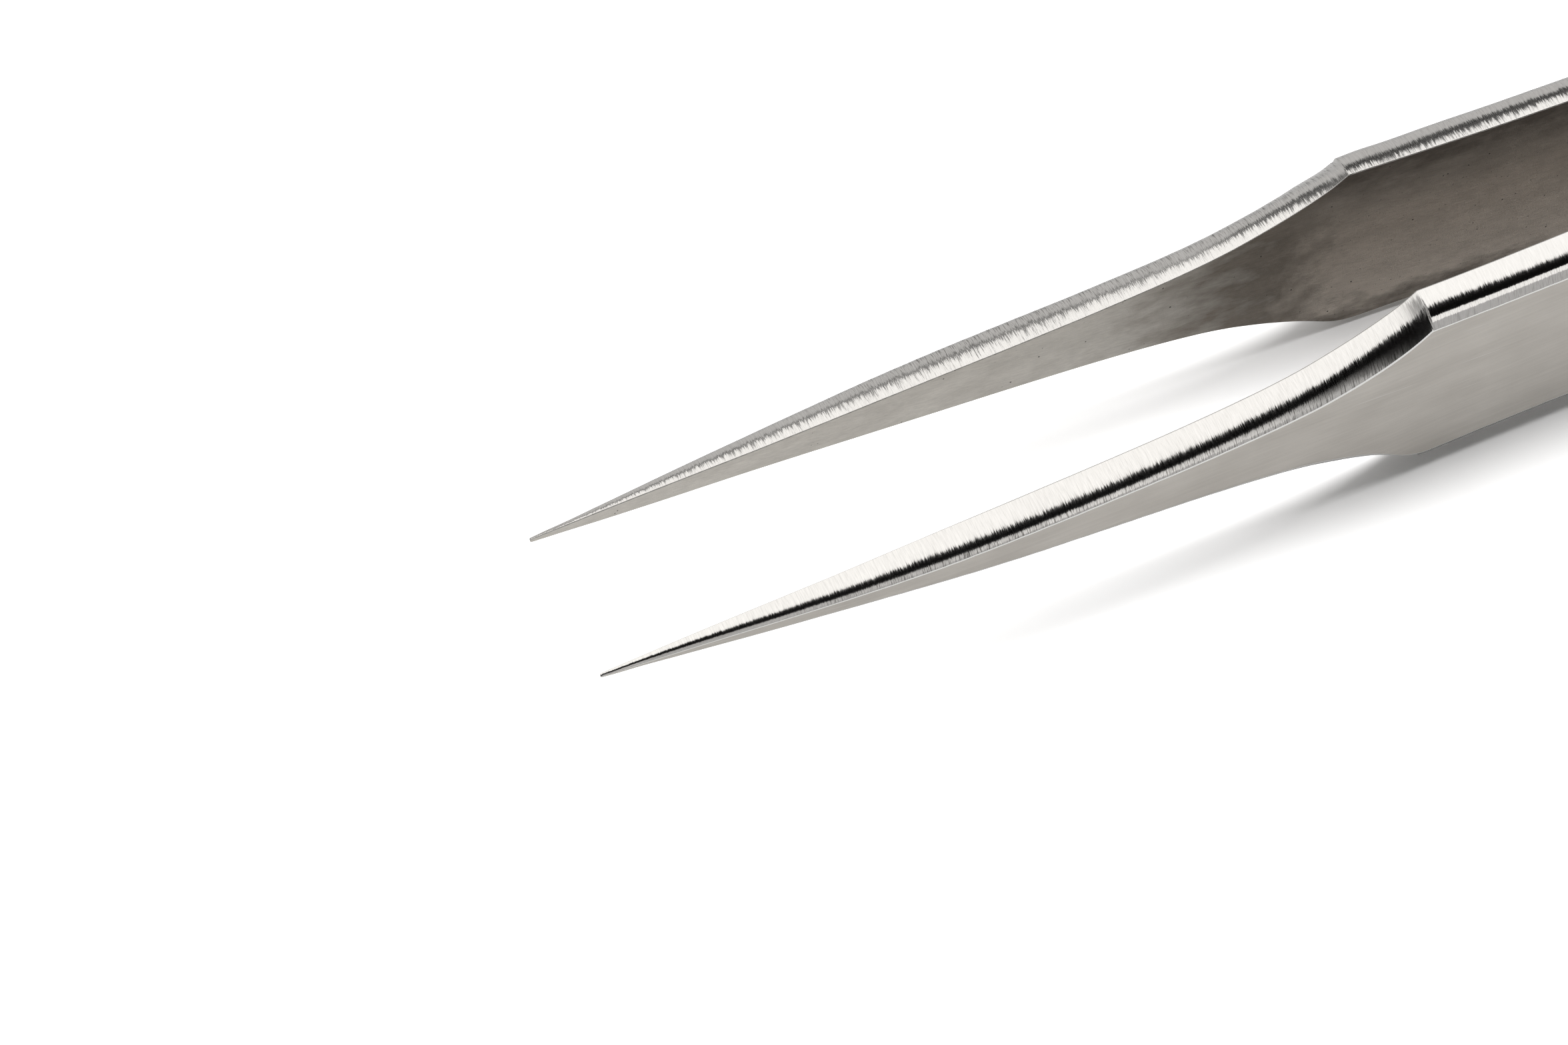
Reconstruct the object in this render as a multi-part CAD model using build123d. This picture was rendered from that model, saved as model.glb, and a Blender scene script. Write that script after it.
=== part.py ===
from build123d import *
import math
import os

# Fine-point precision tweezers: two spring-steel arms, a flat heel spacer between
# their tails, and two resistance spot welds that hold the three layers together.
#
# Frame: X runs along the tool with the points at -X and the heel at +X, Y is the
# opening direction, Z is across the width of the arms. The tool lies on its edges,
# so Z = 0 is the surface it rests on. Origin: centre of the footprint at Z = 0.
# Every length is in millimetres. Stations "s" below are measured from the points.

LENGTH = 120.0          # points to heel
MAX_WIDTH = 10.0        # arm width at the grip, ground flat on both edges
SHOULDER_S = 32.6       # where the ground flank meets the grip
WELD_S = 107.0          # front edge of the heel spacer
SPACER_T = 0.8          # spacer thickness
FLEX_S = 92.0           # station of the flexure, 15 mm in front of the spacer
KNUCKLE_GAP = 0.04      # running clearance round the half-round root of the blade
HEEL_CORNER_R = 2.6     # rounded corners at the heel end
WELD_STATIONS = (111.0, 116.0)
WELD_R = 1.1            # spot-weld nugget radius
WELD_DIMPLE = 0.10      # depth of the electrode mark on the outer faces
GRIND_ALLOWANCE = 0.03  # stock taken off each edge to make the flat lands
TAIL_T = 0.90           # thickness of the tails, flat on both faces
FLAT_FROM_S, FLAT_TO_S = 47.0, 86.0  # stations between which the edges are ground flat

MID_Z = MAX_WIDTH / 2
X0 = -LENGTH / 2        # x of the points

# Inner face: distance from the middle plane along the arm.
INNER_Y = [(0, 3.150), (4, 3.105), (8, 3.070), (12, 3.035), (16, 3.000), (20, 2.965), (24, 2.930),
           (28, 2.885), (32.6, 2.810), (37, 2.690), (42, 2.535), (50, 2.265), (60, 1.915),
           (70, 1.555), (80, 1.190), (88, 0.905), (95, 0.665), (100, 0.520), (104, 0.430),
           (107, 0.400), (112, 0.400), (120, 0.400)]
# Half width of the ground flank, points to shoulder.
FLANK_HW = [(0, 0.095), (0.5, 0.136), (1.6, 0.212), (2.6, 0.288), (4, 0.374), (5.5, 0.458),
            (7, 0.530), (8.5, 0.606), (10, 0.700), (11.7, 0.818), (13.3, 0.935), (15, 1.054),
            (16.6, 1.167), (18.3, 1.282), (20, 1.408), (21.5, 1.532), (23, 1.677), (24.5, 1.850),
            (25.9, 2.055), (27.1, 2.280), (28.1, 2.540), (29, 2.850), (29.8, 3.155), (30.6, 3.505),
            (31.3, 3.855), (32, 4.270), (32.6, 4.750)]
# Half width of the grip and tail, shoulder to heel.
GRIP_HW = [(32.6, 4.750), (34, 4.712), (36, 4.680), (38, 4.672), (41, 4.720), (44, 4.810),
           (47, 4.930), (50, 5.000), (60, 5.000), (70, 5.000), (82, 5.000), (86, 4.940),
           (90, 4.760), (96, 4.420), (100, 4.175), (104, 3.920), (107, 3.730), (112, 3.440),
           (116, 3.260), (120, 3.150)]
# Arm thickness. The outer face runs through the shoulder without a step.
FLANK_T = [(0, 0.125), (0.5, 0.178), (1.6, 0.262), (2.6, 0.358), (4, 0.490), (5.5, 0.635),
           (7, 0.775), (8.5, 0.905), (10, 1.030), (11.7, 1.155), (13.3, 1.255), (15, 1.325),
           (17, 1.375), (20, 1.405), (23, 1.415), (27, 1.425), (29.5, 1.447), (31, 1.452),
           (32.6, 1.430)]
GRIP_T = [(32.6, 1.430), (34, 1.418), (38, 1.435), (42, 1.450), (50, 1.470), (58, 1.440),
          (66, 1.350), (74, 1.220), (82, 1.080), (90, 0.960), (94, 0.920), (100, 0.900),
          (107, 0.900), (120, 0.900)]
# How far the rounded outer edge drops from the inner face's arris to the outer face's.
FLANK_DROP = [(0, 0.072), (0.5, 0.102), (1.6, 0.150), (2.6, 0.190), (4, 0.230), (5.5, 0.265),
              (7, 0.300), (8.5, 0.340), (10, 0.385), (11.7, 0.432), (13.3, 0.462), (15, 0.474),
              (17, 0.480), (20, 0.505), (23, 0.565), (25.5, 0.632), (27.5, 0.712), (29.5, 0.805),
              (30.6, 0.822), (31.3, 0.818), (32, 0.800), (32.6, 0.790)]
GRIP_DROP = [(32.6, 0.795), (34, 0.800), (38, 0.785), (44, 0.735), (50, 0.700), (60, 0.680),
             (74, 0.590), (82, 0.530), (90, 0.475), (107, 0.450), (120, 0.450)]
# The edge's rounding is one cubic per station: its pull at the inner arris and at the
# outer arris, and its angle in degrees there. Next to the shoulder the ground flank is
# flatter across than the grip, which leaves the small ledge between them.
FLANK_P = [(0, 0.550), (20, 0.520), (29, 0.500), (31, 0.460), (32.6, 0.400)]
FLANK_Q = [(0, 0.900), (28, 0.920), (31, 0.880), (32.6, 0.820)]
FLANK_A = [(0, 70), (28, 71), (30, 67), (31.3, 60), (32.6, 55)]
FLANK_A0 = [(0, 2), (29, 2), (31, 3.5), (32.6, 5)]
GRIP_P = [(32.6, 0.930), (34, 0.930), (38, 0.920), (44, 0.820), (52, 0.720), (60, 0.680),
          (120, 0.680)]
GRIP_Q = [(32.6, 0.460), (34, 0.460), (38, 0.520), (44, 0.600), (52, 0.660), (60, 0.680),
          (120, 0.680)]
GRIP_A = [(32.6, 68), (34, 68), (38, 69), (50, 70), (120, 74)]


def curve(table, s):
    """Monotone cubic through a table of (station, value)."""
    xs = [p[0] for p in table]
    ys = [p[1] for p in table]
    if s <= xs[0]:
        return ys[0]
    if s >= xs[-1]:
        return ys[-1]
    n = len(xs)
    h = [xs[i + 1] - xs[i] for i in range(n - 1)]
    d = [(ys[i + 1] - ys[i]) / h[i] for i in range(n - 1)]
    m = [0.0] * n
    m[0], m[-1] = d[0], d[-1]
    for i in range(1, n - 1):
        if d[i - 1] * d[i] > 0:
            w1, w2 = 2 * h[i] + h[i - 1], h[i] + 2 * h[i - 1]
            m[i] = (w1 + w2) / (w1 / d[i - 1] + w2 / d[i])
    i = max(k for k in range(n - 1) if xs[k] <= s)
    t = (s - xs[i]) / h[i]
    return ((2 * t**3 - 3 * t**2 + 1) * ys[i] + (t**3 - 2 * t**2 + t) * h[i] * m[i]
            + (-2 * t**3 + 3 * t**2) * ys[i + 1] + (t**3 - t**2) * h[i] * m[i + 1])


def section(s, flank):
    """(inner y, half width, thickness, half height of the outer face) at a station."""
    y = curve(INNER_Y, s)
    if flank:
        hw = curve(FLANK_HW, s)
        return y, hw, curve(FLANK_T, s), hw - curve(FLANK_DROP, s)
    hw = curve(GRIP_HW, s)
    if FLAT_FROM_S <= s <= FLAT_TO_S:
        # stock for the flat lands, blended in over the ends of the grip
        hw += GRIND_ALLOWANCE * min(1.0, (s - FLAT_FROM_S) / 3.0, (FLAT_TO_S - s) / 4.0)
    return y, hw, curve(GRIP_T, s), hw - curve(GRIP_DROP, s)


def section_wire(s, flank, stock=0.0):
    """Closed D-shaped outline of the right arm: flat inside, rounded outer edges."""
    y, hw, t, hf = section(s, flank)
    t += stock
    pull_in = curve(FLANK_P if flank else GRIP_P, s) * t
    pull_out = curve(FLANK_Q if flank else GRIP_Q, s) * (hw - hf)
    a_in = math.radians(curve(FLANK_A0, s)) if flank else math.radians(2.0)
    a_out = math.radians(curve(FLANK_A if flank else GRIP_A, s))
    c1 = (pull_in * math.cos(a_in), hw - pull_in * math.sin(a_in))
    c2 = (t - pull_out * math.cos(a_out), hf + pull_out * math.sin(a_out))
    x = X0 + s

    def p(yy, zz):
        return Vector(x, y + yy, MID_Z + zz)

    edges = [
        Edge.make_line(p(0, -hw), p(0, hw)),
        Edge.make_bezier(p(0, hw), p(*c1), p(*c2), p(t, hf)),
        Edge.make_line(p(t, hf), p(t, -hf)),
        Edge.make_bezier(p(t, -hf), p(c2[0], -c2[1]), p(c1[0], -c1[1]), p(0, -hw)),
    ]
    return Wire(edges)


FLANK_STATIONS = [0, 0.25, 0.6, 1.2, 2.2, 3.4, 4.8, 6.4, 8.2, 10, 12, 14, 16, 18, 20, 22, 23.8, 25.4, 26.8, 28,
                  29, 29.9, 30.7, 31.4, 32.0, 32.6]
GRIP_STATIONS = [32.6, 34.5, 37, 40, 43.5, 47, 50, 53, 57, 63, 70, 76, 82, 86, 89, 92, 96, 100, 103.5, 107]
TAIL_STATIONS = [107, 111, 115.5, 120]


def heel_outline(front_s, extra=0.0):
    """Plan of the heel end seen along Y: tapering sides and two rounded end corners."""
    pts = [(X0 + s, MID_Z + curve(GRIP_HW, s) + extra) for s in (front_s, 111.0, 115.5, LENGTH)]
    pts += [(x, 2 * MID_Z - z) for x, z in reversed(pts)]
    with BuildSketch(Plane.XZ) as sk:
        Polygon(*pts, align=None)
        fillet(sk.vertices().group_by(Axis.X)[-1], HEEL_CORNER_R)
    return sk.sketch


def full_arm():
    """The right-hand (+Y) arm in one piece, points to heel."""
    flank = Solid.make_loft([section_wire(s, True) for s in FLANK_STATIONS], False)
    grip = Solid.make_loft([section_wire(s, False) for s in GRIP_STATIONS], False)
    heel = Solid.make_loft([section_wire(s, False, 0.04) for s in TAIL_STATIONS], False)
    faces = Pos(X0 + 113.5, SPACER_T / 2 + TAIL_T / 2, MID_Z) * Box(20, TAIL_T, 20)
    heel = heel & faces
    arm = flank.fuse(grip, heel)
    # grind the two edges to the finished width
    keep = Pos(0, 3, MID_Z) * Box(LENGTH + 20, 12, MAX_WIDTH)
    arm = arm & keep
    # round the heel corners: everything in front of the last few millimetres, plus the rounded end
    front = Pos(X0 + 53.0, 3, MID_Z) * Box(118.0, 12, 20)
    end = extrude(heel_outline(WELD_S, 0.01), amount=-12, both=True)
    return arm & (front + end)


def cut_arm(arm):
    """Splits the arm at the flexure into the moving blade and the welded tail."""
    y, hw, t, hf = section(FLEX_S, False)
    pivot_y = y + t / 2
    root = Pos(X0 + FLEX_S, pivot_y, MID_Z) * Cylinder(t / 2, 20)
    socket = Pos(X0 + FLEX_S, pivot_y, MID_Z) * Cylinder(t / 2 + KNUCKLE_GAP, 20)
    front = Pos(X0 + FLEX_S - 60, 3, MID_Z) * Box(120, 12, 20)
    back = Pos(X0 + FLEX_S + 60, 3, MID_Z) * Box(120, 12, 20)
    blade = arm & (front + root)
    tail = (arm & back) - socket
    return blade, tail


def weld_bar(s, half_length, radius):
    """A cylinder along Y on the middle of the heel."""
    return Pos(X0 + s, 0, MID_Z) * (Rot(90, 0, 0) * Cylinder(radius, 2 * half_length))


def biggest(shape):
    return max(shape.solids(), key=lambda q: q.volume)


def main():
    os.makedirs("parts", exist_ok=True)
    arm = full_arm()
    blade, tail = cut_arm(biggest(arm))
    blade, tail = biggest(blade), biggest(tail)

    # spot welds: one nugget through tail, spacer and tail at each station
    nuggets = []
    for s in WELD_STATIONS:
        outer = curve(INNER_Y, s) + curve(GRIP_T, s)
        nuggets.append(weld_bar(s, outer - WELD_DIMPLE, WELD_R))
        tail = tail - weld_bar(s, 6, WELD_R)
    tail = biggest(tail)

    # heel spacer: flat shim with the same outline as the tails
    spacer = extrude(heel_outline(WELD_S), amount=SPACER_T / 2, both=True)
    for s in WELD_STATIONS:
        spacer = spacer - weld_bar(s, 6, WELD_R)
    spacer = biggest(spacer)

    parts = {
        "right_arm_blade": blade,
        "left_arm_blade": blade.mirror(Plane.XZ),
        "right_arm_tail": tail,
        "left_arm_tail": tail.mirror(Plane.XZ),
        "heel_spacer": spacer,
        "spot_welds": Compound(children=nuggets),
    }
    for name, shape in parts.items():
        export_step(shape, f"parts/{name}.step")
    y, hw, t, hf = section(FLEX_S, False)
    print("flexure axis at x", X0 + FLEX_S, "y +/-", round(y + t / 2, 4))


main()
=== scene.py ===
import bpy
import math
import numpy as np
from mathutils import Matrix, Vector


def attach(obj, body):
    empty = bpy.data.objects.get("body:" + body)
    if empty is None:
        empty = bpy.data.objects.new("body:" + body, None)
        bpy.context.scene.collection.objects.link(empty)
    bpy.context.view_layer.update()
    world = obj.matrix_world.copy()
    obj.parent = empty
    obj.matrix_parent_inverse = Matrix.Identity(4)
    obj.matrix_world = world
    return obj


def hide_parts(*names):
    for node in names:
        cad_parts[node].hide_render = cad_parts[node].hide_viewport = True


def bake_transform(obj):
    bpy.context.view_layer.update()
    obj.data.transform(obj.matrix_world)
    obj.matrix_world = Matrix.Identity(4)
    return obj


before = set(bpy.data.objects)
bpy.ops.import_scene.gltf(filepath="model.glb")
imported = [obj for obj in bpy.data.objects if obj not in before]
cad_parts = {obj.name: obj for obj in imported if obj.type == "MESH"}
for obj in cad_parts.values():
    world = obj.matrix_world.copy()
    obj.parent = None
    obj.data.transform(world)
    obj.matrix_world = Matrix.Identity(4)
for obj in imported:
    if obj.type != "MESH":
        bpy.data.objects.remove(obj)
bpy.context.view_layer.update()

MM = 0.001
LENGTH = 120.0
X0 = -60.0            # x of the points, in millimetres
MID_Z = 5.0           # middle of the arms' width
SHOULDER = 32.6
WELDS = (111.0, 116.0)
WELD_R = 1.1

# ---------------------------------------------------------------- shape tables (station in mm from the points)
INNER_Y = [(0, 3.150), (4, 3.105), (8, 3.070), (12, 3.035), (16, 3.000), (20, 2.965), (24, 2.930),
           (28, 2.885), (32.6, 2.810), (37, 2.690), (42, 2.535), (50, 2.265), (60, 1.915),
           (70, 1.555), (80, 1.190), (88, 0.905), (95, 0.665), (100, 0.520), (104, 0.430),
           (107, 0.400), (112, 0.400), (120, 0.400)]
FLANK_HW = [(0, 0.095), (0.5, 0.136), (1.6, 0.212), (2.6, 0.288), (4, 0.374), (5.5, 0.458),
            (7, 0.530), (8.5, 0.606), (10, 0.700), (11.7, 0.818), (13.3, 0.935), (15, 1.054),
            (16.6, 1.167), (18.3, 1.282), (20, 1.408), (21.5, 1.532), (23, 1.677), (24.5, 1.850),
            (25.9, 2.055), (27.1, 2.280), (28.1, 2.540), (29, 2.850), (29.8, 3.155), (30.6, 3.505),
            (31.3, 3.855), (32, 4.270), (32.6, 4.750)]
GRIP_HW = [(32.6, 4.750), (34, 4.712), (36, 4.680), (38, 4.672), (41, 4.720), (44, 4.810),
           (47, 4.930), (50, 5.000), (60, 5.000), (70, 5.000), (82, 5.000), (86, 4.940),
           (90, 4.760), (96, 4.420), (100, 4.175), (104, 3.920), (107, 3.730), (112, 3.440),
           (116, 3.260), (120, 3.150)]
FLANK_T = [(0, 0.125), (0.5, 0.178), (1.6, 0.262), (2.6, 0.358), (4, 0.490), (5.5, 0.635),
           (7, 0.775), (8.5, 0.905), (10, 1.030), (11.7, 1.155), (13.3, 1.255), (15, 1.325),
           (17, 1.375), (20, 1.405), (23, 1.415), (27, 1.425), (29.5, 1.447), (31, 1.452),
           (32.6, 1.430)]
GRIP_T = [(32.6, 1.430), (34, 1.418), (38, 1.435), (42, 1.450), (50, 1.470), (58, 1.440),
          (66, 1.350), (74, 1.220), (82, 1.080), (90, 0.960), (94, 0.920), (100, 0.900),
          (107, 0.900), (120, 0.900)]
# how far the rounded edge drops from the inner face to the outer face
FLANK_DROP = [(0, 0.072), (0.5, 0.102), (1.6, 0.150), (2.6, 0.190), (4, 0.230), (5.5, 0.265),
              (7, 0.300), (8.5, 0.340), (10, 0.385), (11.7, 0.432), (13.3, 0.462), (15, 0.474),
              (17, 0.480), (20, 0.505), (23, 0.565), (25.5, 0.632), (27.5, 0.712), (29.5, 0.805),
              (30.6, 0.822), (31.3, 0.818), (32, 0.800), (32.6, 0.790)]
GRIP_DROP = [(32.6, 0.795), (34, 0.800), (38, 0.785), (44, 0.735), (50, 0.700), (60, 0.680),
             (74, 0.590), (82, 0.530), (90, 0.475), (107, 0.450), (120, 0.450)]
# pull of the edge's rounding: at the inner face, at the outer face, and its angle there
FLANK_P = [(0, 0.550), (20, 0.520), (29, 0.500), (31, 0.460), (32.6, 0.400)]
FLANK_Q = [(0, 0.900), (28, 0.920), (31, 0.880), (32.6, 0.820)]
FLANK_A = [(0, 70), (28, 71), (30, 67), (31.3, 60), (32.6, 55)]
FLANK_A0 = [(0, 2), (29, 2), (31, 3.5), (32.6, 5)]
GRIP_P = [(32.6, 0.960), (34, 0.960), (38, 0.960), (44, 0.840), (52, 0.720), (60, 0.680), (120, 0.680)]
GRIP_Q = [(32.6, 0.480), (34, 0.480), (38, 0.580), (44, 0.620), (52, 0.660), (60, 0.680), (120, 0.680)]
GRIP_A = [(32.6, 61), (34, 61), (38, 61), (46, 65), (56, 70), (120, 74)]
HEEL_R = 2.6


def curve(table, s):
    """Monotone cubic through (station, value), for an array of stations."""
    x = np.array([p[0] for p in table], float)
    y = np.array([p[1] for p in table], float)
    h, d = np.diff(x), np.diff(y) / np.diff(x)
    m = np.zeros(len(x))
    m[0], m[-1] = d[0], d[-1]
    for i in range(1, len(x) - 1):
        if d[i - 1] * d[i] > 0:
            w1, w2 = 2 * h[i] + h[i - 1], h[i] + 2 * h[i - 1]
            m[i] = (w1 + w2) / (w1 / d[i - 1] + w2 / d[i])
    s = np.clip(np.asarray(s, float), x[0], x[-1])
    i = np.clip(np.searchsorted(x, s, side="right") - 1, 0, len(x) - 2)
    t = (s - x[i]) / h[i]
    return ((2 * t**3 - 3 * t**2 + 1) * y[i] + (t**3 - 2 * t**2 + t) * h[i] * m[i]
            + (-2 * t**3 + 3 * t**2) * y[i + 1] + (t**3 - t**2) * h[i] * m[i + 1])


def smooth(a, b, s):
    t = np.clip((s - a) / (b - a), 0, 1)
    return t * t * (3 - 2 * t)


def waves(seed, n, low, high):
    """A smooth, seeded wiggle of one variable: a sum of sines, about -1 to 1."""
    r = np.random.RandomState(seed)
    k = np.exp(r.uniform(math.log(low), math.log(high), n))
    p = r.uniform(0, 2 * math.pi, n)
    a = r.uniform(0.5, 1.0, n)
    a = a / a.sum()
    return lambda x: sum(a[i] * np.sin(2 * math.pi * np.asarray(x) * k[i] + p[i]) for i in range(n)) * 1.6


# ---------------------------------------------------------------- arms
def stations():
    parts = [np.array([0, 0.006, 0.016, 0.03, 0.048, 0.07]),
             np.arange(0.1, 1.0, 0.06), np.arange(1.0, 8.0, 0.14), np.arange(8.0, 31.0, 0.16),
             np.arange(31.0, 32.5, 0.06), np.arange(32.5, 32.9, 0.014),
             np.arange(32.9, 34.0, 0.08), np.arange(34.0, 52.0, 0.2), np.arange(52.0, 106.0, 0.5),
             np.arange(106.0, 108.2, 0.1), np.arange(108.2, 117.4, 0.11),
             np.arange(117.4, 119.4, 0.1), 120 - np.array([0.6, 0.5, 0.4, 0.32, 0.25, 0.19, 0.14, 0.10, 0.065, 0.035, 0.015, 0.0])]
    return np.unique(np.round(np.concatenate(parts), 4))


N_IN, N_ROUND, N_OUT = 9, 30, 8
IN_FACE, ARRIS, EDGE, OUT_FACE, RIM = 0, 1, 2, 3, 4


def half_profile(hw, t, drop, p, q, a0, a1, arris, worn):
    """Upper half of the D section, from the middle of the inner face round to the middle of the
    outer face: (y, z) from the arm's own inner face and middle, and which kind each step is."""
    pts, kind = [], []
    for i in range(N_IN):
        pts.append((0.0, (hw - arris) * i / (N_IN - 1)))
        kind.append(IN_FACE)
    kind[-1] = ARRIS
    c0 = np.array((0.0, hw))
    c3 = np.array((t, hw - drop))
    c1 = c0 + p * t * np.array((math.cos(a0), -math.sin(a0)))
    c2 = c3 - q * drop * np.array((math.cos(a1), -math.sin(a1)))

    def bez(u):
        return (1 - u)**3 * c0 + 3 * (1 - u)**2 * u * c1 + 3 * (1 - u) * u**2 * c2 + u**3 * c3
    first = arris / max(3 * p * t, 1e-4)
    start = bez(first)
    pts.append((start[0] * 0.32, hw - arris * 0.32)); kind.append(ARRIS)
    for i in range(N_ROUND + 1):
        u = first + (1.0 - first) * (i / N_ROUND)**0.92
        v = bez(u)
        pts.append((v[0], v[1])); kind.append(EDGE)
    hf = hw - drop
    # the worn outer arris, a narrow strip; its material paints a highlight on it
    last = pts.pop(); kind.pop()
    d = np.array(last) - np.array(pts[-1])
    step = min(worn, 0.8 * float(np.hypot(*d)))
    pts.append(tuple(np.array(last) - d / np.hypot(*d) * step)); kind.append(RIM)
    pts.append((t, hf - step)); kind.append(OUT_FACE)
    for i in range(1, N_OUT + 1):
        pts.append((t, (hf - step) * (1 - i / N_OUT))); kind.append(OUT_FACE)
    return np.array(pts), kind


def arm(name, side, body, seed):
    S = stations()
    on_grip = smooth(SHOULDER, SHOULDER + 0.07, S)

    def both(flank, grip):
        return curve(flank, S) * (1 - on_grip) + curve(grip, S) * on_grip
    yi = curve(INNER_Y, S)
    hw = both(FLANK_HW, GRIP_HW)
    t = curve(FLANK_T[:-1] + GRIP_T, S)
    drop = both(FLANK_DROP, GRIP_DROP)
    pull_p, pull_q = both(FLANK_P, GRIP_P), both(FLANK_Q, GRIP_Q)
    end_angle = np.radians(both(FLANK_A, GRIP_A))
    start_angle = np.radians(curve(FLANK_A0, S) * (1 - on_grip) + 2.0 * on_grip)
    # the heel's rounded end
    end = S > LENGTH - HEEL_R
    hw_end = curve(GRIP_HW, 120.0) + (curve(GRIP_HW, S) - curve(GRIP_HW, 120.0))
    corner = HEEL_R - np.sqrt(np.clip(HEEL_R**2 - np.clip(S - (LENGTH - HEEL_R), 0, HEEL_R)**2, 0, None))
    hw = np.where(end, hw_end - corner, hw)
    drop = np.where(end, np.minimum(drop, hw * 0.55), drop)
    rim = 0.22
    cut = rim - np.sqrt(np.clip(rim**2 - np.clip(S - (LENGTH - rim), 0, rim)**2, 0, None))
    t_cut = cut * 0.9
    # the blunt, rounded nose of the point
    nose = np.sqrt(np.clip(1 - (1 - np.clip(S / 0.07, 0, 1))**2, 0, 1)) * 0.32 + 0.68
    wob_edge = waves(seed, 9, 0.05, 0.6)
    wob_face = waves(seed + 1, 7, 0.1, 1.4)
    wob_v = waves(seed + 2, 6, 0.3, 2.2)

    # the lower corner of the shoulder is eased, so the sharp bend is rounded off there
    dense = np.linspace(28.0, 38.0, 1001)
    sharp = np.where(dense < SHOULDER, curve(FLANK_HW, dense), curve(GRIP_HW, dense))
    kernel = np.exp(-0.5 * (np.arange(-200, 201) * 0.01 / 0.55) ** 2)
    soft = np.convolve(np.pad(sharp, 200, mode="edge"), kernel / kernel.sum(), mode="valid")
    ease = np.interp(S, dense, soft / sharp, left=1.0, right=1.0)
    ease = 1 + (ease - 1) * smooth(29.0, 30.2, S) * (1 - smooth(35.0, 36.0, S))

    loops, uvs, kinds = [], [], None
    for i, s in enumerate(S):
        arris = min(0.030 + (0.026 * float(smooth(12, 17, s)) if side < 0 else 0.0), 0.14 * t[i])
        hwi = hw[i] * nose[i]
        ti = (t[i] - t_cut[i]) * (1 if s > 1 else nose[i])
        di = min(drop[i] * nose[i] - 0.010 * float(wob_face(s)) * float(smooth(6, 12, s)), hwi * 0.95)
        # width of the outer arris strip that carries the painted highlight
        worn = arris * (1.5 if s < SHOULDER else 1.1)
        # the far arm's upper edge was rounded off more across its shoulder
        du = di if side < 0 else di + 0.24 * math.exp(-((s - 32.5) / 0.8) ** 2) + 0.08 * math.exp(-((s - 34.5) / 1.2) ** 2)
        pts, kind = half_profile(hwi, ti, du, pull_p[i], pull_q[i], start_angle[i], end_angle[i], arris, worn)
        dl = max(di - 0.17 * math.exp(-((s - 31.9) / 0.9) ** 2), 0.3 * di)
        low, _ = half_profile(hwi, ti, dl, pull_p[i], pull_q[i], start_angle[i], end_angle[i], arris, worn)
        # a hand-ground edge is never quite straight
        dz = 0.006 * float(wob_edge(s)) * float(smooth(3, 9, s)) * float(1 - smooth(44, 50, s))
        upper = pts.copy()
        upper[:, 1] += dz * np.clip(upper[:, 1] / max(hwi, 1e-6), 0, 1)
        lower = (low * np.array([1.0, ease[i]]))[::-1][1:-1].copy()
        lower[:, 1] *= -1
        ring = np.vstack([upper, lower])
        yc = (1 - nose[i]) * t[i] * 0.5 if s < 1 else 0.0
        # ledge where the ground flank runs into the grip: a slightly ragged line round the section
        near = math.exp(-((s - SHOULDER - 0.03) / 0.22) ** 2)
        seg = np.hypot(*np.diff(np.vstack([ring, ring[:1]]), axis=0).T)
        arc = np.concatenate([[0], np.cumsum(seg)[:-1]])
        across = np.clip(ring[:, 0] / max(ti, 1e-6), 0, 1)
        mid = np.clip(4 * across * (1 - across), 0, 1)
        dx = near * mid * (0.020 * wob_v(arc) - 0.02)
        x = X0 + s + dx
        y = side * (yi[i] + yc + ring[:, 0])
        z = MID_Z + ring[:, 1]
        # dished electrode marks on the outside of the tail
        if s > 108:
            for w in WELDS:
                r = np.hypot(x - (X0 + w), z - MID_Z)
                dish = 0.085 * (1 - smooth(WELD_R - 0.02, WELD_R + 0.16, r)) - 0.012 * np.exp(-((r - WELD_R - 0.26) / 0.09) ** 2)
                y = y - side * dish * smooth(0.75, 0.98, across)
        loops.append(np.stack([x, y, z], 1))
        # texture rows: height on the two faces, distance from the inner arris on the edges
        total = arc[-1] + seg[-1]
        first_half = np.arange(len(arc)) < len(upper)
        along_edge = np.where(first_half, 40 + arc - arc[N_IN - 1], 60 + (total - arc) - arc[N_IN - 1])
        uvs.append({IN_FACE: ring[:, 1], OUT_FACE: 20 + ring[:, 1], EDGE: along_edge})
        kinds = kind
    L = np.array(loops)
    nS, nR = L.shape[:2]
    verts = L.reshape(-1, 3) * MM
    n_up = N_IN + 1 + (N_ROUND + 2) + N_OUT
    assert n_up == len(kinds)
    ring_kind = []
    for j in range(nR):
        k = j if j < n_up - 1 else (nR - 1 - j)
        ring_kind.append(kinds[k])
    faces, mats, uv = [], [], []
    for i in range(nS - 1):
        sm = 0.5 * (S[i] + S[i + 1])
        for j in range(nR):
            j2 = (j + 1) % nR
            a, b, c, d = i * nR + j, i * nR + j2, (i + 1) * nR + j2, (i + 1) * nR + j
            q = (a, d, c, b) if side > 0 else (a, b, c, d)
            faces.append(q)
            k = ring_kind[j]
            if k == IN_FACE:
                mats.append(1)
            elif k == OUT_FACE:
                mats.append(0)
            elif k == ARRIS:
                mats.append(4)
            elif k == RIM:
                mats.append(5)
            else:
                mats.append(2 if sm < SHOULDER + 0.06 else 3)
            top = {a: (i, j), b: (i, j), c: (i + 1, j), d: (i + 1, j)}
            zone = k if k in (IN_FACE, OUT_FACE) else EDGE
            va, vb = uvs[i][zone][j], uvs[i][zone][j2]
            vd, vc = uvs[i + 1][zone][j], uvs[i + 1][zone][j2]
            pos = {a: (S[i], va), b: (S[i], vb), c: (S[i + 1], vc), d: (S[i + 1], vd)}
            uv.extend(pos[v] for v in q)
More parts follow.
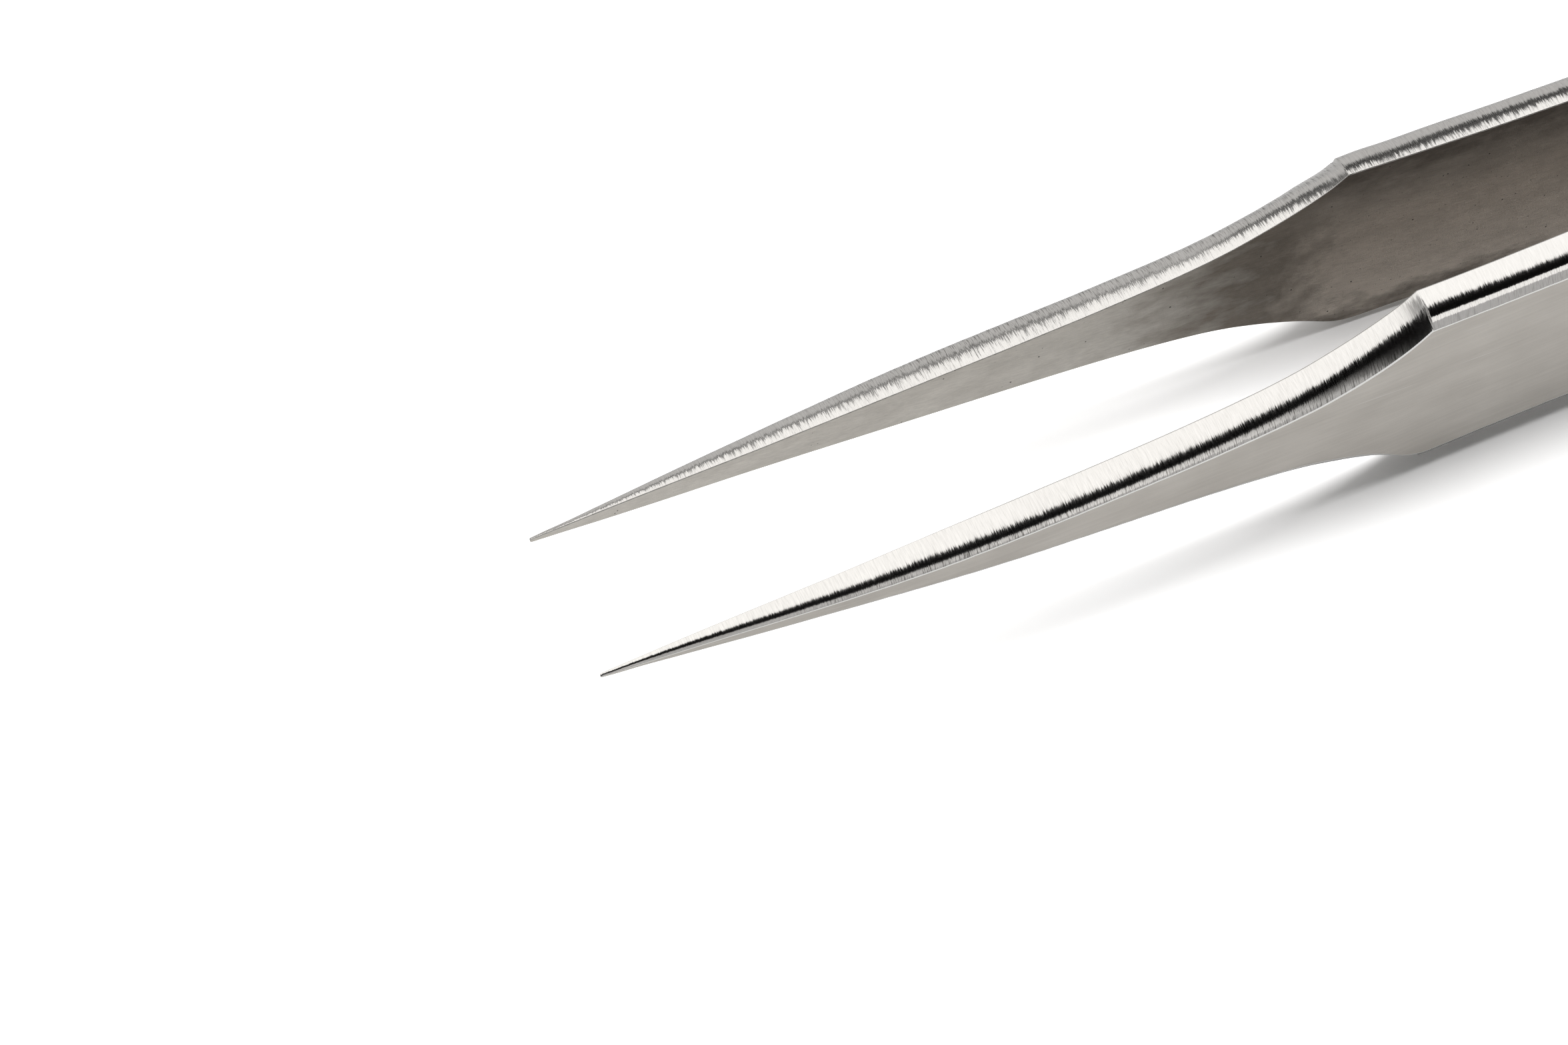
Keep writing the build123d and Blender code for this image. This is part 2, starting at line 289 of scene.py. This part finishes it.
    # caps
    base = len(verts)
    tip_c, end_c = L[0].mean(0) * MM, L[-1].mean(0) * MM
    verts = np.vstack([verts, tip_c, end_c])
    for j in range(nR):
        j2 = (j + 1) % nR
        q = (j, j2, base) if side > 0 else (j2, j, base)
        faces.append(q); mats.append(2); uv.extend([(S[0], 0.01 * j), (S[0], 0.01 * j2), (S[0] - 0.05, 0)])
        e = (nS - 1) * nR
        q = (e + j2, e + j, base + 1) if side > 0 else (e + j, e + j2, base + 1)
        faces.append(q); mats.append(3); uv.extend([(S[-1], 0.01 * j), (S[-1], 0.01 * j2), (S[-1] + 0.3, 0)])
    mesh = bpy.data.meshes.new(name)
    mesh.from_pydata([tuple(v) for v in verts], [], faces)
    layer = mesh.uv_layers.new(name="mm")
    shift = 0.0 if side < 0 else 137.0
    flat = np.array(uv, float)
    flat[:, 0] += shift
    layer.data.foreach_set("uv", flat.astype(np.float32).ravel())
    mesh.polygons.foreach_set("material_index", mats)
    mesh.polygons.foreach_set("use_smooth", [True] * len(faces))
    mesh.update()
    mesh.set_sharp_from_angle(angle=math.radians(11))
    ob = bpy.data.objects.new(name, mesh)
    bpy.context.scene.collection.objects.link(ob)
    return ob


# ---------------------------------------------------------------- materials
def new_material(name):
    m = bpy.data.materials.new(name)
    m.use_nodes = True
    nt = m.node_tree
    bsdf = nt.nodes["Principled BSDF"]
    return m, nt, bsdf


class Tree:
    """A short way to write node trees."""

    def __init__(self, nt):
        self.nt = nt

    def node(self, kind, **props):
        n = self.nt.nodes.new(kind)
        for k, v in props.items():
            setattr(n, k, v)
        return n

    def link(self, a, b):
        self.nt.links.new(a, b)

    def uv(self, su, sv, ou=0.0, ov=0.0, turn=0.0):
        m = self.node("ShaderNodeMapping")
        u = self.node("ShaderNodeUVMap", uv_map="mm")
        r = self.node("ShaderNodeVectorRotate", rotation_type="Z_AXIS")
        r.inputs["Angle"].default_value = turn
        self.link(u.outputs["UV"], r.inputs["Vector"])
        self.link(r.outputs["Vector"], m.inputs["Vector"])
        m.inputs["Scale"].default_value = (su, sv, 1.0)
        m.inputs["Location"].default_value = (ou, ov, 0.0)
        return m.outputs["Vector"]

    def noise(self, vec, scale=1.0, detail=2.0, rough=0.55, w=None):
        n = self.node("ShaderNodeTexNoise")
        n.inputs["Scale"].default_value = scale
        n.inputs["Detail"].default_value = detail
        n.inputs["Roughness"].default_value = rough
        self.link(vec, n.inputs["Vector"])
        return n.outputs["Fac"]

    def map(self, value, a, b, c, d, clamp=True):
        n = self.node("ShaderNodeMapRange", clamp=clamp)
        n.inputs["From Min"].default_value = a
        n.inputs["From Max"].default_value = b
        n.inputs["To Min"].default_value = c
        n.inputs["To Max"].default_value = d
        self.link(value, n.inputs["Value"])
        return n.outputs["Result"]

    def math(self, op, a, b=None):
        n = self.node("ShaderNodeMath", operation=op)
        for i, v in enumerate((a, b)):
            if v is None:
                continue
            if isinstance(v, (int, float)):
                n.inputs[i].default_value = v
            else:
                self.link(v, n.inputs[i])
        return n.outputs["Value"]

    def vmath(self, op, a, b=None, scale=None):
        n = self.node("ShaderNodeVectorMath", operation=op)
        for i, v in enumerate((a, b)):
            if v is None:
                continue
            if isinstance(v, tuple):
                n.inputs[i].default_value = v
            else:
                self.link(v, n.inputs[i])
        if scale is not None:
            self.link(scale, n.inputs["Scale"])
        return n.outputs["Vector"]

    def mix(self, fac, a, b):
        n = self.node("ShaderNodeMix", data_type="RGBA")
        self.link(fac, n.inputs["Factor"]) if not isinstance(fac, float) else None
        for name, v in (("A", a), ("B", b)):
            s = [x for x in n.inputs if x.name == name and x.type == "RGBA"][0]
            if isinstance(v, tuple):
                s.default_value = (*v, 1.0)
            else:
                self.link(v, s)
        return [x for x in n.outputs if x.type == "RGBA"][0]

    def bump(self, height, strength, distance, normal=None):
        n = self.node("ShaderNodeBump")
        n.inputs["Strength"].default_value = strength
        n.inputs["Distance"].default_value = distance
        self.link(height, n.inputs["Height"])
        if normal is not None:
            self.link(normal, n.inputs["Normal"])
        return n.outputs["Normal"]

    def across(self):
        """Direction round the section, square to the arm's length, in the surface."""
        g = self.node("ShaderNodeNewGeometry")
        return self.vmath("CROSS_PRODUCT", g.outputs["Normal"], (1.0, 0.0, 0.0)), g.outputs["Normal"]

    def tangent(self):
        n = self.node("ShaderNodeTangent", direction_type="UV_MAP", uv_map="mm")
        return n.outputs["Tangent"]


def outer_face_material():
    m, nt, b = new_material("outer_face_brushed")
    t = Tree(nt)
    fine = t.noise(t.uv(0.45, 26.0, turn=0.03), 1.0, 4.0, 0.65)
    mid = t.noise(t.uv(0.16, 6.0, 3.0, 1.0, turn=-0.02), 1.0, 3.0, 0.6)
    grain = t.noise(t.uv(6.0, 30.0, 9.0, 4.0), 1.0, 2.0, 0.6)
    blot = t.noise(t.uv(0.35, 0.6, 5.0, 2.0), 1.0, 3.0, 0.5)
    scr = t.noise(t.uv(0.22, 34.0, 21.0, 7.0, turn=0.06), 1.0, 1.0, 0.5)
    scratch = t.map(scr, 0.74, 0.80, 0.0, 1.0)
    tone = t.math("ADD", t.math("MULTIPLY", t.map(fine, 0.3, 0.7, -1, 1), 0.5), t.math("MULTIPLY", t.map(mid, 0.3, 0.7, -1, 1), 0.5))
    fac = t.map(t.math("ADD", tone, t.map(blot, 0.3, 0.7, -0.7, 0.7)), -1.6, 1.6, 0, 1)
    base = t.mix(fac, (0.490, 0.462, 0.424), (0.645, 0.614, 0.568))
    col = t.mix(scratch, base, (0.88, 0.87, 0.85))
    t.link(col, b.inputs["Base Color"])
    b.inputs["Metallic"].default_value = 1.0
    rough = t.math("ADD", t.map(fine, 0.3, 0.7, 0.30, 0.37), t.map(grain, 0.3, 0.7, -0.03, 0.03))
    t.link(rough, b.inputs["Roughness"])
    b.inputs["Anisotropic"].default_value = 0.7
    b.inputs["Anisotropic Rotation"].default_value = 0.25
    t.link(t.tangent(), b.inputs["Tangent"])
    g, n = t.across()
    tilt = t.map(fine, 0.2, 0.8, -0.045, 0.045, clamp=False)
    wob = t.vmath("NORMALIZE", t.vmath("ADD", n, t.vmath("SCALE", g, scale=tilt)))
    t.link(t.bump(grain, 0.25, 0.00002, wob), b.inputs["Normal"])
    return m


def inner_face_material():
    m, nt, b = new_material("inner_face_dull_painted_shade")
    t = Tree(nt)
    u = t.node("ShaderNodeUVMap", uv_map="mm")
    sep = t.node("ShaderNodeSeparateXYZ")
    t.link(u.outputs["UV"], sep.inputs["Vector"])
    along = t.math("MODULO", sep.outputs["X"], 137.0)
    fine = t.noise(t.uv(2.2, 11.0, turn=0.12), 1.0, 4.0, 0.72)
    grain = t.noise(t.uv(16.0, 22.0, 3.0, 8.0), 1.0, 3.0, 0.7)
    blot = t.noise(t.uv(0.5, 1.1, 1.0, 6.0), 1.0, 4.0, 0.6)
    # ground front part against the duller rolled surface behind the shoulder
    cloud = t.noise(t.uv(0.8, 0.8, 7.0, 2.0), 1.0, 5.0, 0.55)
    edge = t.math("ADD", along, t.map(cloud, 0.3, 0.7, -1.1, 1.1, clamp=False))
    behind = t.map(edge, 29.9, 32.5, 0.0, 1.0)
    v = t.node("ShaderNodeTexVoronoi", feature="F1")
    v.inputs["Scale"].default_value = 1.0
    v.inputs["Randomness"].default_value = 1.0
    t.link(t.uv(2.2, 2.2, 2.0, 2.0), v.inputs["Vector"])
    pits = t.map(v.outputs["Distance"], 0.045, 0.10, 1.0, 0.0)
    gate = t.noise(t.uv(1.4, 1.4, 12.0, 3.0), 1.0, 0.0, 0.5)
    pits = t.math("MULTIPLY", pits, t.map(gate, 0.50, 0.56, 0.0, 1.0))
    specks = t.map(t.noise(t.uv(8.0, 8.0, 17.0, 5.0), 1.0, 3.0, 0.7), 0.64, 0.71, 0.0, 0.8)
    tone_front = t.math("ADD", t.map(fine, 0.3, 0.7, -0.65, 0.65), t.math("ADD", t.map(grain, 0.3, 0.7, -0.35, 0.35), t.map(blot, 0.3, 0.7, -0.6, 0.6)))
    fac = t.map(tone_front, -1.5, 1.5, 0, 1)
    front = t.mix(fac, (0.55, 0.525, 0.485), (0.82, 0.79, 0.74))
    # painted shade: the ground front part is coloured darker towards the shoulder, where it mirrors the shaded gap
    # between the arms
    painted_shoulder_shade = t.mix(fac, (0.175, 0.154, 0.132), (0.345, 0.305, 0.264))
    obj = t.node("ShaderNodeTexCoord")
    up = t.node("ShaderNodeSeparateXYZ")
    t.link(obj.outputs["Object"], up.inputs["Vector"])
    height = t.math("ADD", up.outputs["Z"], t.map(blot, 0.3, 0.7, -0.0007, 0.0007, clamp=False))
    # painted reflection and painted shade on the rolled part behind the shoulder: lighter low down, darker towards
    # the top edge
    painted_light_tone = t.mix(fac, (0.445, 0.405, 0.365), (0.700, 0.640, 0.578))
    painted_shade_tone = t.mix(fac, (0.104, 0.090, 0.077), (0.168, 0.146, 0.125))
    behind_painted_shade = t.mix(t.map(height, 0.0062, 0.0096, 0.0, 1.0), painted_light_tone, painted_shade_tone)
    # painted shade along the bottom edge, next to the table
    behind_painted_shade = t.mix(t.map(height, 0.0002, 0.0016, 0.75, 0.0), behind_painted_shade, painted_shade_tone)
    # mask for the painted shade towards the shoulder
    shoulder_shade_mask = t.math("ADD", along, t.map(blot, 0.3, 0.7, -2.2, 2.2, clamp=False))
    col = t.mix(t.map(shoulder_shade_mask, 23.0, 28.8, 0.0, 1.0), front, painted_shoulder_shade)
    col = t.mix(behind, col, behind_painted_shade)
    col = t.mix(t.math("MULTIPLY", specks, behind), col, (0.10, 0.094, 0.086))
    col = t.mix(pits, col, (0.05, 0.046, 0.042))
    t.link(col, b.inputs["Base Color"])
    b.inputs["Metallic"].default_value = 1.0
    rough = t.math("ADD", t.map(grain, 0.3, 0.7, 0.52, 0.64), t.math("MULTIPLY", behind, 0.10))
    t.link(rough, b.inputs["Roughness"])
    b.inputs["Anisotropic"].default_value = 0.45
    b.inputs["Anisotropic Rotation"].default_value = 0.25
    t.link(t.tangent(), b.inputs["Tangent"])
    h = t.math("ADD", t.math("MULTIPLY", grain, 0.6), t.math("ADD", t.math("MULTIPLY", fine, 0.5), t.math("MULTIPLY", pits, -1.2)))
    t.link(t.bump(h, 0.5, 0.00003), b.inputs["Normal"])
    return m


def edge_material(name, streak, length, tilt_amount, rough_lo, rough_hi, dark, light, hairs):
    m, nt, b = new_material(name)
    t = Tree(nt)
    st = t.noise(t.uv(streak, length, 2.0, 3.0), 1.0, 3.0, 0.65)
    st2 = t.noise(t.uv(streak * 0.45, length * 0.7, 8.0, 5.0), 1.0, 1.0, 0.6)
    blot = t.noise(t.uv(0.7, 0.9, 4.0, 1.0), 1.0, 3.0, 0.55)
    fac = t.map(t.math("ADD", t.map(st, 0.3, 0.7, -0.8, 0.8), t.math("ADD", t.map(st2, 0.3, 0.7, -0.5, 0.5), t.map(blot, 0.3, 0.7, -0.3, 0.3))), -1.5, 1.5, 0, 1)
    # dark cross scratches, thicker towards the outer arris
    row = t.node("ShaderNodeSeparateXYZ")
    t.link(t.node("ShaderNodeUVMap", uv_map="mm").outputs["UV"], row.inputs["Vector"])
    out = t.map(t.math("MODULO", row.outputs["Y"], 20.0), 0.75, 1.15, 0.12, 1.0)
    hair = t.map(t.noise(t.uv(20.0, 1.5, 31.0, 7.0, turn=0.02), 1.0, 3.0, 0.6), 0.50, 0.66, 0.0, hairs)
    scuffed = t.mix(t.math("MULTIPLY", hair, out), t.mix(fac, dark, light), (0.10, 0.094, 0.086))
    t.link(scuffed, b.inputs["Base Color"])
    b.inputs["Metallic"].default_value = 1.0
    t.link(t.map(st, 0.3, 0.7, rough_lo, rough_hi), b.inputs["Roughness"])
    b.inputs["Anisotropic"].default_value = 0.6
    t.link(t.tangent(), b.inputs["Tangent"])
    g, n = t.across()
    tilt = t.math("ADD", t.map(st, 0.2, 0.8, -tilt_amount, tilt_amount, clamp=False), t.map(st2, 0.2, 0.8, -tilt_amount * 0.3, tilt_amount * 0.3, clamp=False))
    t.link(t.vmath("NORMALIZE", t.vmath("ADD", n, t.vmath("SCALE", g, scale=tilt))), b.inputs["Normal"])
    return m


def arris_material(name, dark, light):
    m, nt, b = new_material(name)
    t = Tree(nt)
    n = t.noise(t.uv(5.0, 5.0), 1.0, 3.0, 0.6)
    t.link(t.mix(n, dark, light), b.inputs["Base Color"])
    b.inputs["Metallic"].default_value = 1.0
    t.link(t.map(n, 0.3, 0.7, 0.25, 0.42), b.inputs["Roughness"])
    return m


def heel_material(name, dark, light, rough_lo, rough_hi):
    m, nt, b = new_material(name)
    t = Tree(nt)
    c = t.node("ShaderNodeTexCoord")
    mp = t.node("ShaderNodeMapping")
    mp.inputs["Scale"].default_value = (900.0, 9000.0, 9000.0)
    t.link(c.outputs["Object"], mp.inputs["Vector"])
    n = t.noise(mp.outputs["Vector"], 1.0, 3.0, 0.6)
    t.link(t.mix(t.map(n, 0.3, 0.7, 0, 1), dark, light), b.inputs["Base Color"])
    b.inputs["Metallic"].default_value = 1.0
    t.link(t.map(n, 0.3, 0.7, rough_lo, rough_hi), b.inputs["Roughness"])
    t.link(t.bump(n, 0.3, 0.00002), b.inputs["Normal"])
    return m


outer = outer_face_material()
inner = inner_face_material()
flank = edge_material("flank_ground_crosswise", 22.0, 1.7, 0.100, 0.17, 0.24, (0.445, 0.434, 0.418), (0.535, 0.524, 0.508), 0.85)
grip_edge = edge_material("grip_edge_ground", 20.0, 1.9, 0.055, 0.13, 0.18, (0.46, 0.449, 0.434), (0.53, 0.519, 0.504), 0.30)
arris = arris_material("arris_worn", (0.33, 0.32, 0.305), (0.58, 0.57, 0.55))
# painted highlight: the narrow outer arris strip is given a much lighter colour so it reads as a glint
rim_painted_highlight_mat = arris_material("outer_arris_painted_highlight", (0.80, 0.79, 0.77), (0.96, 0.95, 0.93))

left = arm("left_arm", -1, "left_arm", 11)
right = arm("right_arm", 1, "right_arm", 47)
for ob in (left, right):
    for mat in (outer, inner, flank, grip_edge, arris, rim_painted_highlight_mat):
        ob.data.materials.append(mat)
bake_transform(left)
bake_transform(right)
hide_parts("left_arm_blade", "left_arm_tail")
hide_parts("right_arm_blade", "right_arm_tail")


# ---------------------------------------------------------------- heel spacer and weld marks
def spacer():
    s = np.concatenate([np.linspace(107.0, 117.4, 40), 117.4 + HEEL_R * np.sin(np.linspace(0, math.pi / 2, 22))[1:]])
    hw = curve(GRIP_HW, s)
    d = np.clip(s - (LENGTH - HEEL_R), 0, HEEL_R)
    hw = hw - (HEEL_R - np.sqrt(np.clip(HEEL_R**2 - d**2, 0, None)))
    rim = [(X0 + a, MID_Z + b) for a, b in zip(s, hw)] + [(X0 + a, MID_Z - b) for a, b in zip(s[::-1], hw[::-1])]
    rim = np.array(rim)
    c = rim.mean(0)
    verts, faces = [], []
    ht, bev = 0.40, 0.035
    rows = [(-ht + 0.001, bev), (-ht + bev * 0.3, bev * 0.3), (-ht + bev, 0.0), (0.0, -0.0), (ht - bev, 0.0), (ht - bev * 0.3, bev * 0.3), (ht - 0.001, bev)]
    nxt, prv = np.roll(rim, -1, 0), np.roll(rim, 1, 0)
    tang = nxt - prv
    tang /= np.linalg.norm(tang, axis=1)[:, None] + 1e-12
    inward = np.stack([tang[:, 1], -tang[:, 0]], 1)
    if ((c - rim) * inward).sum() < 0:
        inward = -inward
    n = len(rim)
    for y, inset in rows:
        for p, w in zip(rim, inward):
            q = p + w * inset
            verts.append((q[0] * MM, y * MM, q[1] * MM))
    for k in range(len(rows) - 1):
        for j in range(n):
            j2 = (j + 1) % n
            faces.append((k * n + j, k * n + j2, (k + 1) * n + j2, (k + 1) * n + j))
    faces.append(tuple(range(n))[::-1])
    faces.append(tuple((len(rows) - 1) * n + j for j in range(n)))
    mesh = bpy.data.meshes.new("heel_spacer_sheet")
    mesh.from_pydata(verts, [], faces)
    mesh.update()
    import bmesh
    bm = bmesh.new(); bm.from_mesh(mesh)
    bmesh.ops.recalc_face_normals(bm, faces=bm.faces)
    bm.to_mesh(mesh); bm.free()
    mesh.polygons.foreach_set("use_smooth", [True] * len(mesh.polygons))
    mesh.set_sharp_from_angle(angle=math.radians(30))
    ob = bpy.data.objects.new("heel_spacer_sheet", mesh)
    bpy.context.scene.collection.objects.link(ob)
    return ob


def weld_marks():
    verts, faces = [], []
    outer_y = 0.40 + 0.90
    rings = [(0.0, outer_y - 0.066), (0.25, outer_y - 0.067), (0.5, outer_y - 0.066), (0.68, outer_y - 0.064),
             (0.80, outer_y - 0.063), (0.86, outer_y - 0.067), (0.90, outer_y - 0.078), (0.92, outer_y - 0.100), (0.92, outer_y - 0.30)]
    n = 64
    for w in WELDS:
        off = len(verts)
        prof = [(r, y) for r, y in rings] + [(r, -y) for r, y in rings[::-1]]
        verts.append(((X0 + w) * MM, prof[0][1] * MM, MID_Z * MM))
        for r, y in prof[1:-1]:
            for k in range(n):
                a = 2 * math.pi * k / n
                verts.append(((X0 + w + r * math.cos(a)) * MM, y * MM, (MID_Z + r * math.sin(a)) * MM))
        verts.append(((X0 + w) * MM, prof[-1][1] * MM, MID_Z * MM))
        rows = len(prof) - 2
        for k in range(n):
            k2 = (k + 1) % n
            faces.append((off, off + 1 + k2, off + 1 + k))
            for r in range(rows - 1):
                a, b = off + 1 + r * n, off + 1 + (r + 1) * n
                faces.append((a + k, a + k2, b + k2, b + k))
            e = off + 1 + (rows - 1) * n
            faces.append((e + k, e + k2, off + 1 + rows * n))
    mesh = bpy.data.meshes.new("weld_marks")
    mesh.from_pydata(verts, [], faces)
    import bmesh
    bm = bmesh.new(); bm.from_mesh(mesh)
    bmesh.ops.recalc_face_normals(bm, faces=bm.faces)
    bm.to_mesh(mesh); bm.free()
    mesh.polygons.foreach_set("use_smooth", [True] * len(mesh.polygons))
    mesh.set_sharp_from_angle(angle=math.radians(40))
    ob = bpy.data.objects.new("weld_marks", mesh)
    bpy.context.scene.collection.objects.link(ob)
    return ob


sheet = spacer()
sheet.data.materials.append(heel_material("spacer_sheet", (0.44, 0.43, 0.415), (0.58, 0.57, 0.555), 0.30, 0.42))
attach(sheet, "heel")
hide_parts("heel_spacer")
welds = weld_marks()
welds.data.materials.append(heel_material("weld_mark_steel", (0.36, 0.34, 0.315), (0.52, 0.50, 0.47), 0.22, 0.34))
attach(welds, "heel")
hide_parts("spot_welds")

# ---------------------------------------------------------------- stage
scene = bpy.context.scene
scene.view_settings.view_transform = "Standard"
scene.view_settings.look = "None"
scene.view_settings.exposure = 0.0
scene.view_settings.gamma = 1.0


def quad(name, centre, right, up, w, h):
    c, r, u = Vector(centre), Vector(right).normalized(), Vector(up).normalized()
    mesh = bpy.data.meshes.new(name)
    mesh.from_pydata([c - r * w / 2 - u * h / 2, c + r * w / 2 - u * h / 2, c + r * w / 2 + u * h / 2, c - r * w / 2 + u * h / 2], [], [(0, 1, 2, 3)])
    ob = bpy.data.objects.new(name, mesh)
    scene.collection.objects.link(ob)
    return ob


def paper(name, low_albedo, high_albedo):
    m, nt, b = new_material(name)
    t = Tree(nt)
    c = t.node("ShaderNodeTexCoord")
    n = t.noise(c.outputs["Object"], 400.0, 3.0, 0.5)
    t.link(t.mix(n, (low_albedo,) * 3, (high_albedo,) * 3), b.inputs["Base Color"])
    b.inputs["Roughness"].default_value = 0.9
    b.inputs["Specular IOR Level"].default_value = 0.0
    return m


floor = quad("floor", (0, 0, -0.00001), (1, 0, 0), (0, 1, 0), 30, 30)
floor.data.materials.append(paper("floor_white", 0.89, 0.91))
floor.visible_glossy = False
floor.visible_shadow = False
# the same table again as the steel mirrors it, less over-exposed than the picture of it
mirrored = quad("floor_mirrored", (0, 0, -0.00002), (1, 0, 0), (0, 1, 0), 30, 30)
mirrored.data.materials.append(paper("floor_mirrored_white", 0.455, 0.465))
mirrored.visible_camera = False
mirrored.visible_diffuse = False
mirrored.visible_shadow = False

ring = bpy.data.meshes.new("backdrop")
n_seg, rv, rf = 96, [], []
for k in range(n_seg):
    a_ = 2 * math.pi * k / n_seg
    for z_ in (-0.5, 7.0):
        rv.append((14.0 * math.cos(a_), 14.0 * math.sin(a_), z_))
for k in range(n_seg):
    k2 = (k + 1) % n_seg
    rf.append((2 * k, 2 * k + 1, 2 * k2 + 1, 2 * k2))
ring.from_pydata(rv, [], rf)
backdrop = bpy.data.objects.new("backdrop", ring)
scene.collection.objects.link(backdrop)
bm_, bnt, bb = new_material("backdrop_white")
bb.inputs["Base Color"].default_value = (0, 0, 0, 1)
bb.inputs["Specular IOR Level"].default_value = 0.0
bb.inputs["Emission Color"].default_value = (1, 1, 1, 1)
bb.inputs["Emission Strength"].default_value = 1.1
ring.materials.append(bm_)
for flag in ("visible_diffuse", "visible_glossy", "visible_transmission", "visible_volume_scatter", "visible_shadow"):
    setattr(backdrop, flag, False)


def studio():
    """The soft light of a product table, by direction: a long overhead softbox that leans away from
    the front, a front card to the right, a dim far wall and a dark room on the front side."""
    w = bpy.data.worlds.new("studio")
    scene.world = w
    w.use_nodes = True
    nt = w.node_tree
    t = Tree(nt)
    bg = nt.nodes["Background"]
    c = t.node("ShaderNodeTexCoord")
    sep = t.node("ShaderNodeSeparateXYZ")
    t.link(c.outputs["Generated"], sep.inputs["Vector"])
    x, y, z = sep.outputs["X"], sep.outputs["Y"], sep.outputs["Z"]
    theta = t.math("MULTIPLY", t.math("ARCTAN2", t.math("MULTIPLY", y, -1.0), z), 180.0 / math.pi)

    def step(v, lo, hi, a=0.0, b=1.0):
        n = t.node("ShaderNodeMapRange", interpolation_type="SMOOTHSTEP", clamp=True)
        for k, q in (("From Min", lo), ("From Max", hi), ("To Min", a), ("To Max", b)):
            n.inputs[k].default_value = q
        t.link(v, n.inputs["Value"])
        return n.outputs["Result"]

    def mul(*v):
        r = v[0]
        for q in v[1:]:
            r = t.math("MULTIPLY", r, q)
        return r
    def edge(v, at, slope, lo_x, hi_x):
        """v minus a limit that moves with x."""
        xc = t.map(x, lo_x, hi_x, lo_x - 0.23, hi_x - 0.23)
        return t.math("SUBTRACT", v, t.math("ADD", t.math("MULTIPLY", xc, slope), at))
    key = mul(step(edge(theta, -42.0, 8.6, -0.8, 0.4), -2.0, 2.0), step(edge(theta, 1.5, -19.0, -0.6, 0.4), -4.0, 4.5, 1.0, 0.0),
              step(t.math("ADD", x, step(theta, -40.0, -26.0, 0.24, 0.0)), -0.97, -0.60), step(x, 0.80, 0.93, 1.0, 0.0), KEY)
    # the card starts a little higher and fades towards the left
    front_from = t.math("ADD", step(x, -0.10, 0.08, 52.75, 59.75), step(x, 0.12, 0.21, 0.0, -7.0))
    fade = t.math("ADD", step(x, -0.30, -0.10, 0.0, 0.04), t.math("ADD", step(x, -0.10, 0.12, 0.0, 0.50), step(x, 0.12, 0.24, 0.0, 0.46)))
    front = mul(step(t.math("SUBTRACT", theta, front_from), -2.25, 2.25), step(theta, 108.0, 124.0, 1.0, 0.0), fade, step(x, 0.80, 0.93, 1.0, 0.0), FRONT)
    far_from = t.math("ADD", step(x, 0.11, 0.21, -46.5, -53.5), step(x, -0.42, 0.02, -22.0, 0.0))
    far = mul(step(theta, -50.0, -45.0, 1.0, 0.0), step(x, -0.97, -0.70),
              t.math("ADD", step(t.math("SUBTRACT", theta, far_from), -3.0, 3.0, FAR - GAP, 0.0), GAP))
    sides = mul(step(t.math("ABSOLUTE", x), 0.90, 0.97), SIDE)
    total = t.math("ADD", t.math("ADD", key, front), t.math("ADD", far, t.math("ADD", sides, DARK)))
    t.link(total, bg.inputs["Strength"])
    bg.inputs["Color"].default_value = (1.0, 0.992, 0.98, 1.0)


KEY, FRONT, FAR, GAP, SIDE, DARK = 1.95, 1.75, 0.88, 0.10, 0.35, 0.004
studio()


def table_light(name, direction, distance, size, irradiance):
    """Lifts the table to white. It is kept out of the reflections, where the softboxes are."""
    d = Vector(direction).normalized()
    light = bpy.data.lights.new(name, "AREA")
    light.shape = "DISK"
    light.size = size
    light.energy = irradiance * math.pi * distance**2 * math.pi / d.z
    ob = bpy.data.objects.new(name, light)
    scene.collection.objects.link(ob)
    ob.location = d * distance
    ob.rotation_mode = "QUATERNION"
    ob.rotation_quaternion = d.to_track_quat("Z", "Y")
    ob.visible_camera = False
    ob.visible_glossy = False
    return ob


table_light("table_fill", (0.19, 0.19, 1.0), 3.0, 2.1, 1.42)

# ---------------------------------------------------------------- camera
AZ, EL, ROLL, DIST, FOCAL = -24.449, 56.268, 0.364, 339.3, 14000.0
a, e, r = math.radians(AZ), math.radians(EL), math.radians(ROLL)
back = Vector((math.sin(a) * math.cos(e), -math.cos(a) * math.cos(e), math.sin(e)))
target = Vector((8.746 + X0, 0.153, MID_Z))
fwd = -back
rgt = fwd.cross(Vector((0, 0, 1))).normalized()
upv = rgt.cross(fwd).normalized()
right_v = rgt * math.cos(r) + upv * math.sin(r)
up_v = -rgt * math.sin(r) + upv * math.cos(r)
cam_data = bpy.data.cameras.new("camera")
cam_data.sensor_width = 36.0
cam_data.lens = 36.0 * FOCAL / 2352.0
cam_data.clip_start, cam_data.clip_end = 0.01, 100.0
cam = bpy.data.objects.new("camera", cam_data)
scene.collection.objects.link(cam)
loc = (target + back * DIST) * MM
rot = Matrix((right_v, up_v, back)).transposed().to_4x4()
cam.matrix_world = Matrix.Translation(loc) @ rot
scene.camera = cam
